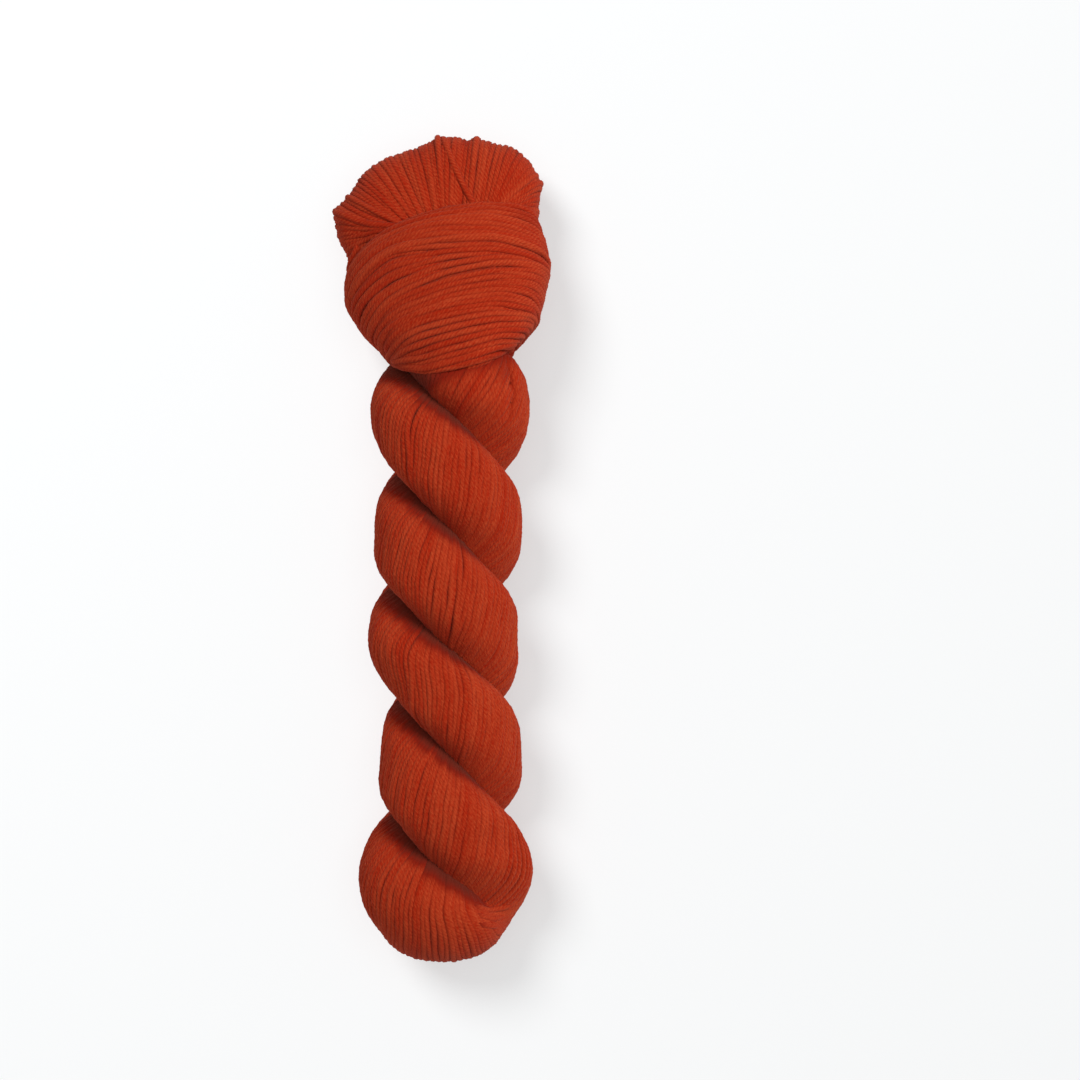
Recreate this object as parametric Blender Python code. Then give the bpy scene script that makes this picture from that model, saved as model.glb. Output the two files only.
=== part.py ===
"""A hank of yarn, twisted on itself and tucked, lying on a flat surface.

The maker winds the yarn into one big loop, twists the loop and folds it in half. The two
halves then lay up round each other like a two-ply rope. One end of the loop is pulled
through the other: the end that goes through opens into a fan of loops, and the end that
it goes through closes round the neck as a broad collar.

The solid is one piece: the rope with its fold, the collar and the fan, joined and then
flattened where they touch the surface. Y runs from the fold to the fan, Z is up, X is
across. The origin is on the surface, under the middle of the hank. Sizes are in metres.
"""

import math

import bmesh
import bpy
from mathutils import Vector

MM = 0.001

# ---- the whole hank
LENGTH = 300 * MM
AXIS_X = 2.3 * MM  # the rope's axis, a little to the right of the hank's middle
BACK_Y = -LENGTH / 2  # the outside of the fold
HEAD_HEIGHT = 24.6 * MM  # the collar's middle above the surface
SINK = 0.9  # the rope is pressed to this share of its width by its own weight

# ---- the rope: two plies, each an ellipse in a slice across the axis
PITCH = 82 * MM  # one full turn of the plies
PLY_OFFSET = 11.2 * MM  # a ply's middle from the axis
PLY_REACH = 15.9 * MM  # half of a ply, outwards from the axis
PLY_SPREAD = 19.9 * MM  # half of a ply, along the rope's rim
FRONT_Y = -95 * MM  # the last place where the right-hand ply crosses the top
NECK_Y = 84 * MM  # the rope ends inside the collar

# ---- the fold: each ply bends round into the other
TURN_Y = -127 * MM
TURN_DEPTH = TURN_Y - BACK_Y  # the bend is pressed to this depth along the hank
TURN_OFFSET = 11.7 * MM  # a ply's middle from the axis where the bend starts
TURN_REACH = 20.8 * MM  # half of the bent bundle, outwards from the axis
TURN_SPREAD = 24.2 * MM  # half of the bent bundle, along the rope's rim
WIDEN_Y = -93.8 * MM  # the plies start to fill out here
FADE_Y = -120.1 * MM  # the twist slackens from here to the fold

# The rope as it lies: how far its axis strays across, how high it runs, how full and how flat.
ROPE_ROWS = (
    # y, stray, height, fullness, flatness
    (84.0, 1.0, 22.8, 0.98, 0.80),
    (66.0, 1.6, 22.8, 1.06, 0.84),
    (50.0, 0.8, 22.8, 1.07, 0.94),
    (28.0, 0.5, 22.8, 0.99, 1.00),
    (6.5, 0.2, 22.8, 0.99, 1.00),
    (-13.0, -0.9, 22.8, 1.03, 1.00),
    (-33.5, -2.0, 22.8, 1.00, 1.00),
    (-54.0, 1.2, 22.8, 0.96, 1.00),
    (-73.5, 1.2, 22.8, 0.94, 1.00),
    (-95.0, 0.5, 22.4, 1.035, 1.00),
    (-107.6, -0.5, 21.4, 1.035, 0.96),
    (-139.0, -1.7, 21.2, 0.94, 0.90),
    (-150.0, -1.9, 20.8, 0.985, 0.90),
)

# ---- the collar: rings of yarn round the neck, tilted in the plane of the surface
COLLAR_Y = 93.2 * MM
COLLAR_TILT = math.radians(11)
# Each ring runs at its side height at the left and right and at its crown height on top.
COLLAR_ROWS = (
    # side, crown, left, right, thickness (half)
    (-22.0, -28.5, 18.0, 16.5, 13.0),
    (-22.8, -30.6, 25.0, 22.4, 20.6),
    (-21.0, -28.8, 26.6, 25.5, 22.6),
    (-17.6, -24.6, 28.2, 30.2, 24.0),
    (-10.9, -15.9, 33.3, 33.7, 25.0),
    (0.0, -1.8, 38.0, 38.4, 25.4),
    (8.0, 13.0, 36.9, 38.7, 24.8),
    (13.0, 21.4, 34.9, 38.2, 22.8),
    (15.4, 25.4, 32.2, 37.4, 20.2),
    (16.0, 26.6, 29.0, 35.0, 17.6),
    (13.0, 23.0, 18.0, 22.0, 12.0),
)

# ---- the fan: loops of yarn that stand out round one middle
FAN_Y = 111.3 * MM
FAN_HEIGHT = 19.0 * MM  # the rim's middle above the surface
FAN_CROWN = 18.5 * MM  # the top's middle above the rim's
FAN_BELLY = 17.0 * MM  # the underside's middle below the rim's
FAN_ROUNDNESS = 2.6  # the higher, the fuller the fan is near its rim
# The rim's reach by direction, counted from +X towards +Y.
FAN_ROWS = (
    # angle, reach
    (-90.0, 24.0),
    (-30.0, 27.0),
    (-8.0, 30.0),
    (12.0, 32.8),
    (22.0, 35.4),
    (35.0, 40.6),
    (50.0, 42.6),
    (70.0, 39.8),
    (90.0, 38.5),
    (112.0, 37.8),
    (130.0, 39.8),
    (150.0, 42.0),
    (168.0, 43.2),
    (184.0, 40.0),
    (200.0, 36.6),
    (225.0, 31.0),
    (270.0, 24.0),
)

# ---- how finely each form is cut into faces
ROPE_RINGS = 78
FOLD_RINGS = 11
ROPE_SIDES = 32
COLLAR_SIDES = 40
FAN_SIDES = 48
FAN_STEPS = 7

YARN_COLOUR = (0.40, 0.045, 0.018, 1.0)
YARN_ROUGHNESS = 0.85


def clear_scene():
    for thing in list(bpy.data.objects):
        bpy.data.objects.remove(thing)


def eased(share):
    """A share from 0 to 1, with a level start and end."""
    share = min(max(share, 0.0), 1.0)
    return share * share * (3 - 2 * share)


def between_rows(rows, place):
    """The other columns of a table at this place in its first column, eased from row to row."""
    rows = sorted(rows)
    if place <= rows[0][0]:
        return rows[0][1:]
    for low, high in zip(rows, rows[1:]):
        if place <= high[0]:
            share = eased((place - low[0]) / (high[0] - low[0]))
            return tuple(a + (b - a) * share for a, b in zip(low[1:], high[1:]))
    return rows[-1][1:]


def twist_at(y):
    """How far the right-hand ply has turned from the top towards +X, at this place on the axis."""
    rate = 2 * math.pi / PITCH
    if y >= FADE_Y:
        return rate * (FRONT_Y - y)
    past = FADE_Y - y
    fade = FADE_Y - BACK_Y
    return rate * (FRONT_Y - FADE_Y + past - past * past / (2 * fade))


def ply_size(y):
    """A ply's offset, reach and spread at this place on the axis, before it is made fuller."""
    share = eased((WIDEN_Y - y) / (WIDEN_Y - TURN_Y))
    offset = PLY_OFFSET + (TURN_OFFSET - PLY_OFFSET) * share
    reach = PLY_REACH + (TURN_REACH - PLY_REACH) * share
    spread = PLY_SPREAD + (TURN_SPREAD - PLY_SPREAD) * share
    return offset, reach, spread


def rope_reach(angle, y):
    """The rope's radius at this angle from a ply's middle: the outline of both plies together."""
    offset, reach, spread = ply_size(y)
    below = max(TURN_Y - y, 0.0) / TURN_DEPTH * (TURN_OFFSET + TURN_REACH)
    inside, outside = 0.0, offset + reach + spread
    for _ in range(40):
        radius = (inside + outside) / 2
        from_middle = math.hypot(radius * math.cos(angle), below) - offset
        across = radius * math.sin(angle)
        if (from_middle / reach) ** 2 + (across / spread) ** 2 < 1:
            inside = radius
        else:
            outside = radius
    return inside


def rope_point(angle, y):
    """A point of the rope's skin: angle is from the right-hand ply's middle."""
    stray, height, fullness, flatness = between_rows(ROPE_ROWS, y / MM)
    radius = rope_reach(angle, y) * fullness
    turned = twist_at(y) + angle
    return Vector((
        AXIS_X + stray * MM + radius * math.sin(turned),
        y,
        height * MM + SINK * flatness * radius * math.cos(turned),
    ))


def collar_point(row, angle):
    """A point of one ring of the collar: angle 0 is at the right, 90 degrees on top."""
    side, crown, left, right, thickness = (size * MM for size in row)
    half = (left + right) / 2
    along = (right - left) / 2 + half * math.cos(angle)
    up = side + (crown - side) * abs(math.sin(angle)) ** 1.5
    return Vector((
        AXIS_X + along * math.cos(COLLAR_TILT) - up * math.sin(COLLAR_TILT),
        COLLAR_Y + along * math.sin(COLLAR_TILT) + up * math.cos(COLLAR_TILT),
        HEAD_HEIGHT + thickness * math.sin(angle),
    ))


def fan_point(angle, climb):
    """A point of the fan: climb goes from -90 degrees, its belly, by 0 at the rim to 90, its crown."""
    (reach,) = between_rows(FAN_ROWS, (math.degrees(angle) + 90) % 360 - 90)
    out = reach * MM * math.cos(climb) ** (2 / FAN_ROUNDNESS)
    height = FAN_CROWN if climb > 0 else FAN_BELLY
    return Vector((
        AXIS_X + out * math.cos(angle),
        FAN_Y + out * math.sin(angle),
        FAN_HEIGHT + height * math.sin(climb),
    ))


def loft(name, rings, first_tip=None, last_tip=None):
    """A closed skin through rings of points, closed by a tip or by a flat face at each end."""
    shape = bmesh.new()
    loops = [[shape.verts.new(point) for point in ring] for ring in rings]
    for lower, upper in zip(loops, loops[1:]):
        for i in range(len(lower)):
            shape.faces.new((lower[i - 1], lower[i], upper[i], upper[i - 1]))
    for loop, tip in ((loops[0], first_tip), (loops[-1], last_tip)):
        if tip is None:
            shape.faces.new(loop)
            continue
        middle = shape.verts.new(tip)
        for i in range(len(loop)):
            shape.faces.new((loop[i - 1], loop[i], middle))
    bmesh.ops.triangulate(shape, faces=[face for face in shape.faces if len(face.verts) == 4])
    bmesh.ops.recalc_face_normals(shape, faces=shape.faces)
    mesh = bpy.data.meshes.new(name)
    shape.to_mesh(mesh)
    shape.free()
    made = bpy.data.objects.new(name, mesh)
    bpy.context.scene.collection.objects.link(made)
    return made


def angles(count):
    return [2 * math.pi * i / count for i in range(count)]


def rope():
    """The two plies and the fold, one twisted form. Its creases run along whole columns of points."""
    straight = [NECK_Y + (TURN_Y - NECK_Y) * i / ROPE_RINGS for i in range(ROPE_RINGS + 1)]
    fold = [
        TURN_Y - TURN_DEPTH * math.sin(math.radians(90) * i / FOLD_RINGS)
        for i in range(1, FOLD_RINGS)
    ]
    rings = [[rope_point(angle, y) for angle in angles(ROPE_SIDES)] for y in straight + fold]
    return loft("rope", rings, last_tip=rope_point(0.0, BACK_Y + 0.01 * MM))


def collar():
    rings = [[collar_point(row, angle) for angle in angles(COLLAR_SIDES)] for row in COLLAR_ROWS]
    return loft("collar", rings)


def fan():
    climbs = [math.radians(90 * i / FAN_STEPS) for i in range(1 - FAN_STEPS, FAN_STEPS)]
    rings = [[fan_point(angle, climb) for angle in angles(FAN_SIDES)] for climb in climbs]
    right_angle = math.radians(90)
    return loft("fan", rings, fan_point(0.0, -right_angle), fan_point(0.0, right_angle))


def ground():
    """The space below the surface, which presses the hank flat where it touches."""
    bpy.ops.mesh.primitive_cube_add(size=1, location=(0, 0, -0.5))
    made = bpy.context.object
    made.name = "ground"
    return made


def join(body, other, operation):
    """Joins a helper to the body, or cuts it away, and keeps the helper out of the model."""
    change = body.modifiers.new(f"{operation.lower()}_{other.name}", "BOOLEAN")
    change.operation = operation
    change.object = other
    other.hide_render = True
    other.display_type = "WIRE"


def yarn_material():
    material = bpy.data.materials.new("yarn")
    material.use_nodes = True
    shader = material.node_tree.nodes["Principled BSDF"]
    shader.inputs["Base Color"].default_value = YARN_COLOUR
    shader.inputs["Roughness"].default_value = YARN_ROUGHNESS
    shader.inputs["Metallic"].default_value = 0.0
    return material


def main():
    clear_scene()
    hank = rope()
    hank.name = "hank"
    join(hank, collar(), "UNION")
    join(hank, fan(), "UNION")
    join(hank, ground(), "DIFFERENCE")
    hank.data.materials.append(yarn_material())
    hank.data.shade_smooth()
    hank.data.set_sharp_from_angle(angle=math.radians(35))


main()
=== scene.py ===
"""A hank of plied wool, twisted on itself and tucked, lying on a pale table, seen from above.

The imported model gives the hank's outer form. Here the form is wound with its real yarn.
Tables are in millimetres and degrees, and everything in the scene is in metres.
"""

import math

import bpy
import numpy as np
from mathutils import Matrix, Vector
from mathutils.bvhtree import BVHTree


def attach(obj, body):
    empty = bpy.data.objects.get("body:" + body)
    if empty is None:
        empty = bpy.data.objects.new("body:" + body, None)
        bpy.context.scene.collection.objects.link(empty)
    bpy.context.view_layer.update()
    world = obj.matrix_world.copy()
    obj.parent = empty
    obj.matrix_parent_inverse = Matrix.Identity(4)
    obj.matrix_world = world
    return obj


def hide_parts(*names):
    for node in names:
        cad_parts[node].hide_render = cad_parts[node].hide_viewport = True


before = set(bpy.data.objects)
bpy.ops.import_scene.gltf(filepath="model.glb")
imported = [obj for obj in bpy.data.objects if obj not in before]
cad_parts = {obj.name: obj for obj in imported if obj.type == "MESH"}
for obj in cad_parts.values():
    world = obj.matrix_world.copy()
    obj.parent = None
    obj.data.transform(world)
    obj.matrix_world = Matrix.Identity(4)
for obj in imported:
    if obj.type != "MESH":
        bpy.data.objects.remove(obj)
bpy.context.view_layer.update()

MM = 0.001

# ---------------------------------------------------------------- camera
# The hank was seen from straight above, lying left of the picture's middle. At the height
# of its middle the picture is 391 mm wide.
PICTURE_WIDTH = 390.9 * MM
PICTURE_MIDDLE = (35.65 * MM, 2.7 * MM)
CAMERA_HEIGHT = 900 * MM
HANK_MIDDLE_HEIGHT = 24 * MM

camera_data = bpy.data.cameras.new("camera_above")
camera_data.sensor_width = 36.0
camera_data.lens = camera_data.sensor_width * (CAMERA_HEIGHT - HANK_MIDDLE_HEIGHT) / PICTURE_WIDTH
camera = bpy.data.objects.new("camera_above", camera_data)
camera.location = (*PICTURE_MIDDLE, CAMERA_HEIGHT)
bpy.context.scene.collection.objects.link(camera)
bpy.context.scene.camera = camera

# ---------------------------------------------------------------- table and light
# A plain white table that is softly lit from below, so that shadows on it are pale. A lamp on
# the left is kept to the table, where it draws the shadow out to the right and downwards. The
# main lamp, on the upper right, a wide one overhead and the walls light the wool.
TABLE_SIZE = 6.0
TABLE_COLOUR = (0.372, 0.382, 0.386, 1.0)
TABLE_GLOW = 0.575
WALL_COLOUR = (1.0, 1.0, 1.0, 1.0)
WALL_STRENGTH = 0.22
LAMPS = (
    # name, place, size, power, whether the table is the one thing it lights or the one it leaves out
    ("ceiling_lamp", (0.08, 0.10, 1.50), 1.40, 6.0, None),
    ("table_lamp", (-1.00, 1.24, 2.00), 1.10, 54.0, "INCLUDE"),
    ("main_lamp", (0.62, 0.50, 1.10), 0.50, 10.8, "EXCLUDE"),
)


def plain_table():
    half = TABLE_SIZE / 2
    mesh = bpy.data.meshes.new("table_top")
    corners = [(-half, -half, 0), (half, -half, 0), (half, half, 0), (-half, half, 0)]
    mesh.from_pydata(corners, [], [(0, 1, 2, 3)])
    top = bpy.data.objects.new("table_top", mesh)
    bpy.context.scene.collection.objects.link(top)
    paint = bpy.data.materials.new("table_paint")
    paint.use_nodes = True
    shader = paint.node_tree.nodes["Principled BSDF"]
    shader.inputs["Base Color"].default_value = TABLE_COLOUR
    shader.inputs["Roughness"].default_value = 0.8
    shader.inputs["Specular IOR Level"].default_value = 0.0
    shader.inputs["Emission Color"].default_value = (1.0, 1.0, 1.0, 1.0)
    shader.inputs["Emission Strength"].default_value = TABLE_GLOW
    mesh.materials.append(paint)
    return top


table = plain_table()

for lamp_name, lamp_place, lamp_size, lamp_power, lamp_table in LAMPS:
    lamp_data = bpy.data.lights.new(lamp_name, "AREA")
    lamp_data.shape = "DISK"
    lamp_data.size = lamp_size
    lamp_data.energy = lamp_power
    lamp = bpy.data.objects.new(lamp_name, lamp_data)
    lamp.location = lamp_place
    lamp.rotation_euler = (-Vector(lamp_place)).to_track_quat("-Z", "Y").to_euler()
    bpy.context.scene.collection.objects.link(lamp)
    if lamp_table:
        reach = bpy.data.collections.new(lamp_name + "_reach")
        reach.objects.link(table)
        reach.collection_objects[0].light_linking.link_state = lamp_table
        lamp.light_linking.receiver_collection = reach

walls = bpy.data.worlds.new("pale_walls")
walls.use_nodes = True
walls.node_tree.nodes["Background"].inputs["Color"].default_value = WALL_COLOUR
walls.node_tree.nodes["Background"].inputs["Strength"].default_value = WALL_STRENGTH
bpy.context.scene.world = walls
bpy.context.scene.view_settings.view_transform = "Standard"

# ---------------------------------------------------------------- the two plies of the rope
# The wound loop is twisted and folded, and its halves lie round each other as two plies.
# Each is a bundle of wool yarns. The yarns go round their ply once in a turn of the rope,
# so that on the outside they run straight along the hank.
AXIS_X = 2.3
PITCH = 82.0
PLY_OFFSET = 11.2
PLY_REACH = 15.9
PLY_SPREAD = 19.9
SINK = 0.9
FRONT_Y = -95.0
NECK_Y = 84.0
BACK_Y = -150.0
TURN_Y = -127.0
TURN_DEPTH = TURN_Y - BACK_Y
TURN_OFFSET = 11.7
TURN_REACH = 20.8
TURN_SPREAD = 24.2
WIDEN_Y = -93.8
FADE_Y = -120.1
ROPE_ROWS = (
    # y, stray, height, fullness, flatness
    (84.0, 1.0, 22.8, 0.98, 0.80),
    (66.0, 1.6, 22.8, 1.06, 0.84),
    (50.0, 0.8, 22.8, 1.07, 0.94),
    (28.0, 0.5, 22.8, 0.99, 1.00),
    (6.5, 0.2, 22.8, 0.99, 1.00),
    (-13.0, -0.9, 22.8, 1.03, 1.00),
    (-33.5, -2.0, 22.8, 1.00, 1.00),
    (-54.0, 1.2, 22.8, 0.96, 1.00),
    (-73.5, 1.2, 22.8, 0.94, 1.00),
    (-95.0, 0.5, 22.4, 1.035, 1.00),
    (-107.6, -0.5, 21.4, 1.035, 0.96),
    (-139.0, -1.7, 21.2, 0.94, 0.90),
    (-150.0, -1.9, 20.8, 0.985, 0.90),
)

YARN_LAY = 8.2  # the yarn's own strands turn once round each other in this length
YARN_STEP = 1.1  # a ring of the yarn's mesh every so often
YARN_STRANDS = 5
STRAND_RELIEF = 0.045  # how far a strand stands out of the yarn's round, as a share of its radius
UNDER_STEP = 2.1  # yarns that lie under others are plainer
UNDER_STRANDS = 3
YARN_SWELL = 0.045  # its thickness varies by this share along it
END_SIZE = 0.35  # its two ends are drawn in to this share of its thickness
END_GROWTH = 0.3
TABLE_CLEARANCE = 0.02
# Shade is painted into the wool: sides that face neighbouring yarns, yarns that lie under others and creases
# are darker.
SIDE_FACING = 0.5  # a side that faces less outward than this lies in the dark between yarns
SIDE_SHADE = 0.62
OPEN_SIDE_SHADE = 0.42  # looser yarns let more light in between them
UNDER_SHADE = 0.35
# A shade of 1 is painted shade between yarns, and a shade of 2 is painted shade at the bottom of a crease,
# where a yarn of the rope comes out from under the other ply. Less shade is painted on the right of the
# rope, which the main lamp lights.
DIVE_START = 6.0  # where a yarn is taken to come out if no part of it is covered
DIVE_REACH = 1.8
DIVE_LENGTH = 9.0  # the crease fades along the yarn in this length
# This share of the painted crease shade is left out on the right of the rope, which the main lamp lights.
LIT_SHARE = 0.68
# How strongly painted shade darkens the grooves between the strands of the rope's yarns.
ROPE_GROOVE_SHADE = 0.65  # the rope's yarns are drawn tight, and the grooves of their strands show less

ROPE_YARN_RADIUS = 1.32  # pressed together, the soft yarns are wider than they are apart
ROPE_YARN_PITCH = 1.75  # from yarn to yarn, on the outside of the ply
FOLD_YARN_PITCH = 1.95
WIDEST_PITCH = 2.15
FOLD_WIDEST_PITCH = 2.4
SHOWING_ANGLE = math.radians(128)  # further round its ply a yarn is under the other one
YARN_LEAN = 1.07  # the yarns go round their ply this much faster than it goes round the rope
NECK_LEAN = 0.20  # and this much faster again where the right-hand ply comes out of the collar
NECK_PLACE = -182.0
CROSSING_SHARE = 0.03  # this many yarns lie askew over the rest
CROSSING_LEAN = 0.10
CROSSING_LIFT = 0.35
PARTING_SHARE = 0.12  # beside this many yarns the bundle parts a little
PARTING_DEPTH = 0.12
WAY_STEPS = 330  # a yarn's way is followed in so many steps to each end
LONGEST_STEP = 0.4
TURN_STEP = 0.1  # and in none of them does it turn further than this round its ply, in radians
FEWEST_STEPS = 12  # a shorter piece of a yarn is left out
NECK_TUCK = 6  # so far the yarns run on under the collar
NEAR_EDGE = 0.985  # this share of the buried angle is the last that still shows

# How high the collar's lower edge runs round the neck: 30 degrees apart, from the right over the top.
NECK_EDGE = (70.0, 68.9, 66.8, 62.6, 60.3, 63.2, 65.7, 64.0)
NECK_ANGLES = (0, 30, 60, 90, 120, 150, 180, 210, 360)
NECK_HEIGHT = 22.8
# The collar's shadow is painted on the rope, reaching this far below the collar's edge.
NECK_REACH = 6.0  # the rope is shaded for so far below it

chance = np.random.default_rng(7)


def eased(share):
    share = np.clip(share, 0.0, 1.0)
    return share * share * (3 - 2 * share)


def between_rows(rows, place):
    """The other columns of a table at these places in its first column, eased from row to row."""
    rows = np.array(sorted(rows))
    place = np.clip(place, rows[0, 0], rows[-1, 0])
    low = np.clip(np.searchsorted(rows[:, 0], place, side="right") - 1, 0, len(rows) - 2)
    share = eased((place - rows[low, 0]) / (rows[low + 1, 0] - rows[low, 0]))
    return [rows[low, c] + (rows[low + 1, c] - rows[low, c]) * share for c in range(1, rows.shape[1])]


def twist_at(y):
    """How far the right-hand ply has turned from the top towards +X."""
    rate = 2 * math.pi / PITCH
    past = np.maximum(FADE_Y - y, 0.0)
    fade = FADE_Y - BACK_Y
    return rate * (FRONT_Y - np.maximum(y, FADE_Y) + past - past * past / (2 * fade))


def ply_size(y):
    share = eased((WIDEN_Y - y) / (WIDEN_Y - TURN_Y))
    offset = PLY_OFFSET + (TURN_OFFSET - PLY_OFFSET) * share
    reach = PLY_REACH + (TURN_REACH - PLY_REACH) * share
    spread = PLY_SPREAD + (TURN_SPREAD - PLY_SPREAD) * share
    return offset, reach, spread


HALF_FOLD = TURN_OFFSET * math.pi / 2
FOLD_PRESS = TURN_DEPTH / (TURN_OFFSET + TURN_REACH)


def tube_place(along, round_it, lift=0.0):
    """A point of the bundle, which is one tube: down the right-hand ply, round the fold and up the left.

    along is the way down the tube, 0 at the middle of the fold. round_it is the angle round the
    tube, 0 on its outermost line. The point is out from the rope's axis, across and along it.
    """
    bend = math.pi / 2 + np.clip(along, -HALF_FOLD, HALF_FOLD) / TURN_OFFSET
    straight = np.maximum(np.abs(along) - HALF_FOLD, 0.0)
    offset, reach, spread = ply_size(TURN_Y + straight)
    out = offset + (reach + lift) * np.cos(round_it)
    across = (spread + lift) * np.sin(round_it)
    y = TURN_Y + straight - FOLD_PRESS * out * np.where(straight > 0, 0.0, np.sin(bend))
    return out * np.cos(bend), across, y


def ply_skin(along, round_it, lift):
    """A point at this height over the bundle's skin, where it lies in the hank."""
    out, across, y = tube_place(along, round_it, lift)
    turned = twist_at(y)
    stray, height, fullness, flatness = between_rows(ROPE_ROWS, y)
    x = AXIS_X + stray + fullness * (out * np.sin(turned) + across * np.cos(turned))
    z = height + SINK * flatness * fullness * (out * np.cos(turned) - across * np.sin(turned))
    return np.stack((x, y, z), -1)


def turn_rate(along, round_it):
    """How fast a yarn goes round the tube as it goes along it, so that it runs straight down the hank."""
    offset, reach, spread = ply_size(TURN_Y + np.maximum(np.abs(along) - HALF_FOLD, 0.0))
    cosine, sine = np.cos(round_it), np.sin(round_it)
    per_turn = ((offset + reach * cosine) ** 2 + (spread * sine) ** 2) / (spread * (reach + offset * cosine))
    _, _, y = tube_place(along, round_it)
    slack = 1 - np.maximum(FADE_Y - y, 0.0) / (FADE_Y - BACK_Y)
    bend = math.pi / 2 + np.clip(along, -HALF_FOLD, HALF_FOLD) / TURN_OFFSET
    in_fold = np.abs(along) < HALF_FOLD
    fold_speed = FOLD_PRESS * (offset + reach * cosine) / TURN_OFFSET * np.abs(np.cos(bend))
    speed = np.where(in_fold, fold_speed, 1.0)
    lean = YARN_LEAN + NECK_LEAN * eased((NECK_PLACE - along) / 18.0)
    return lean * 2 * math.pi / PITCH * slack * per_turn * np.maximum(speed, 0.0)


def buried_angle(along):
    """Past this angle a yarn is inside the other ply, or in the fold."""
    offset, reach, _ = ply_size(TURN_Y + np.maximum(np.abs(along) - HALF_FOLD, 0.0))
    return np.arccos(-offset / reach) + math.radians(12)


def follow_bundle(along, round_it):
    """The way of each yarn through this place of the tube, until it is buried at both ends."""
    halves = []
    for heading in (-1.0, 1.0):
        at, angle = along.astype(float), round_it.astype(float)
        ways = [(at, angle)]
        for _ in range(WAY_STEPS):
            step = heading * np.minimum(LONGEST_STEP, TURN_STEP / (turn_rate(at, angle) + 1e-6))
            middle = angle - 0.5 * step * turn_rate(at, angle)
            angle = angle - step * turn_rate(at + step / 2, middle)
            at = at + step
            ways.append((at, angle))
        halves.append(np.array(ways))
    yarns = []
    for i in range(len(along)):
        ends = []
        for half in halves:
            way = half[:, :, i]
            gone = np.abs(way[:, 1]) > buried_angle(way[:, 0])
            gone |= np.abs(way[:, 0]) > NECK_Y - TURN_Y + HALF_FOLD + NECK_TUCK
            stop = int(np.argmax(gone)) if gone.any() else len(way)
            ends.append(way[:stop])
        if len(ends[0]) + len(ends[1]) > FEWEST_STEPS:
            yarns.append(np.concatenate((ends[0][:0:-1], ends[1])))
    return yarns


def wave(place, length, phase):
    return np.sin(2 * math.pi * place / length + phase)


def evenly(points, step):
    """The same line with a point every step."""
    gaps = np.linalg.norm(np.diff(points, axis=0), axis=1)
    way = np.concatenate(([0.0], np.cumsum(gaps)))
    count = max(int(way[-1] / step), 3)
    places = np.linspace(0, way[-1], count + 1)
    return np.stack([np.interp(places, way, points[:, c]) for c in range(3)], -1)


def smoothed(points, passes):
    for _ in range(passes):
        inner = 0.25 * points[:-2] + 0.5 * points[1:-1] + 0.25 * points[2:]
        points = np.concatenate((points[:1], inner, points[-1:]))
    return points


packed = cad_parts["hank"].data
packed_points = [vertex.co / MM for vertex in packed.vertices]
packed_faces = [tuple(face.vertices) for face in packed.polygons]
packed_skin = BVHTree.FromPolygons(packed_points, packed_faces)


def way_out(points):
    """The way out of the hank at each point of a line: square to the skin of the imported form."""
    ways = np.array([packed_skin.find_nearest(Vector(point))[1] for point in points])
    ways = smoothed(ways, 3)
    return ways / (np.linalg.norm(ways, axis=1)[:, None] + 1e-9)


def spun_rings(points, radius, lay, strands, step):
    """Rings of the yarn's skin along a line: its strands are laid left-handed round each other."""
    ahead = np.gradient(points, axis=0)
    ahead /= np.linalg.norm(ahead, axis=1)[:, None]
    side = np.empty_like(points)
    first = np.cross(ahead[0], (0.3, 0.2, 1.0))
    side[0] = first / np.linalg.norm(first)
    for i in range(1, len(points)):
        carried = side[i - 1] - ahead[i] * np.dot(side[i - 1], ahead[i])
        side[i] = carried / np.linalg.norm(carried)
    other = np.cross(ahead, side)
    corners = 2 * strands
    way = np.arange(len(points)) * step
    turn = chance.uniform(0, 2 * math.pi) - 2 * math.pi * way / lay
    angle = turn[:, None] + 2 * math.pi * np.arange(corners)[None, :] / corners
    size = radius * (1 + STRAND_RELIEF * np.where(np.arange(corners) % 2 == 0, 1.0, -1.0))
    to_end = np.minimum(np.arange(len(points)), np.arange(len(points))[::-1])
    ends = np.minimum(1.0, END_SIZE + END_GROWTH * to_end)
    swell = 1 + YARN_SWELL * wave(way, chance.uniform(9, 16), chance.uniform(0, 6))
    size = size[None, :] * (ends * swell)[:, None]
    return (
        points[:, None, :]
        + (size * np.cos(angle))[:, :, None] * side[:, None, :]
        + (size * np.sin(angle))[:, :, None] * other[:, None, :]
    )


def dive_shade(line, way):
    """Painted shade on a yarn of the rope: in the crease at its upper end, which comes first, and below the
    collar.
    """
    outside = line + way_out(line) * (ROPE_YARN_RADIUS + 0.6)
    covered = [packed_skin.ray_cast(Vector(point), Vector((0, 0, 1)))[0] is not None for point in outside]
    covered = np.array(covered) & (line[:, 2] > NECK_HEIGHT - 4) & (way < 0.4 * way[-1])
    # Painted crease shade: strongest where the yarn comes out from under the other ply, less on the lit
    # right.
    emerging = way[covered].max() + DIVE_REACH if covered.any() else DIVE_START
    dark = 1 - eased((way - emerging) / DIVE_LENGTH)
    dark *= 1 - LIT_SHARE * eased((line[:, 0] - AXIS_X - 5.0) / 12.0)
    # The collar's shadow is painted on the rope just below the collar's lower edge, half as strong on the
    # right.
    around = np.degrees(np.arctan2(line[:, 2] - NECK_HEIGHT, line[:, 0] - AXIS_X)) % 360
    edge = np.interp(around, NECK_ANGLES, NECK_EDGE + NECK_EDGE[:1])
    collar_shadow = eased((line[:, 1] - edge) / NECK_REACH + 1.2)
    collar_shadow *= 1 - 0.5 * eased((line[:, 0] - AXIS_X + 12.0) / 14.0)
    return 2 * np.maximum(dark, collar_shadow)


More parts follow.
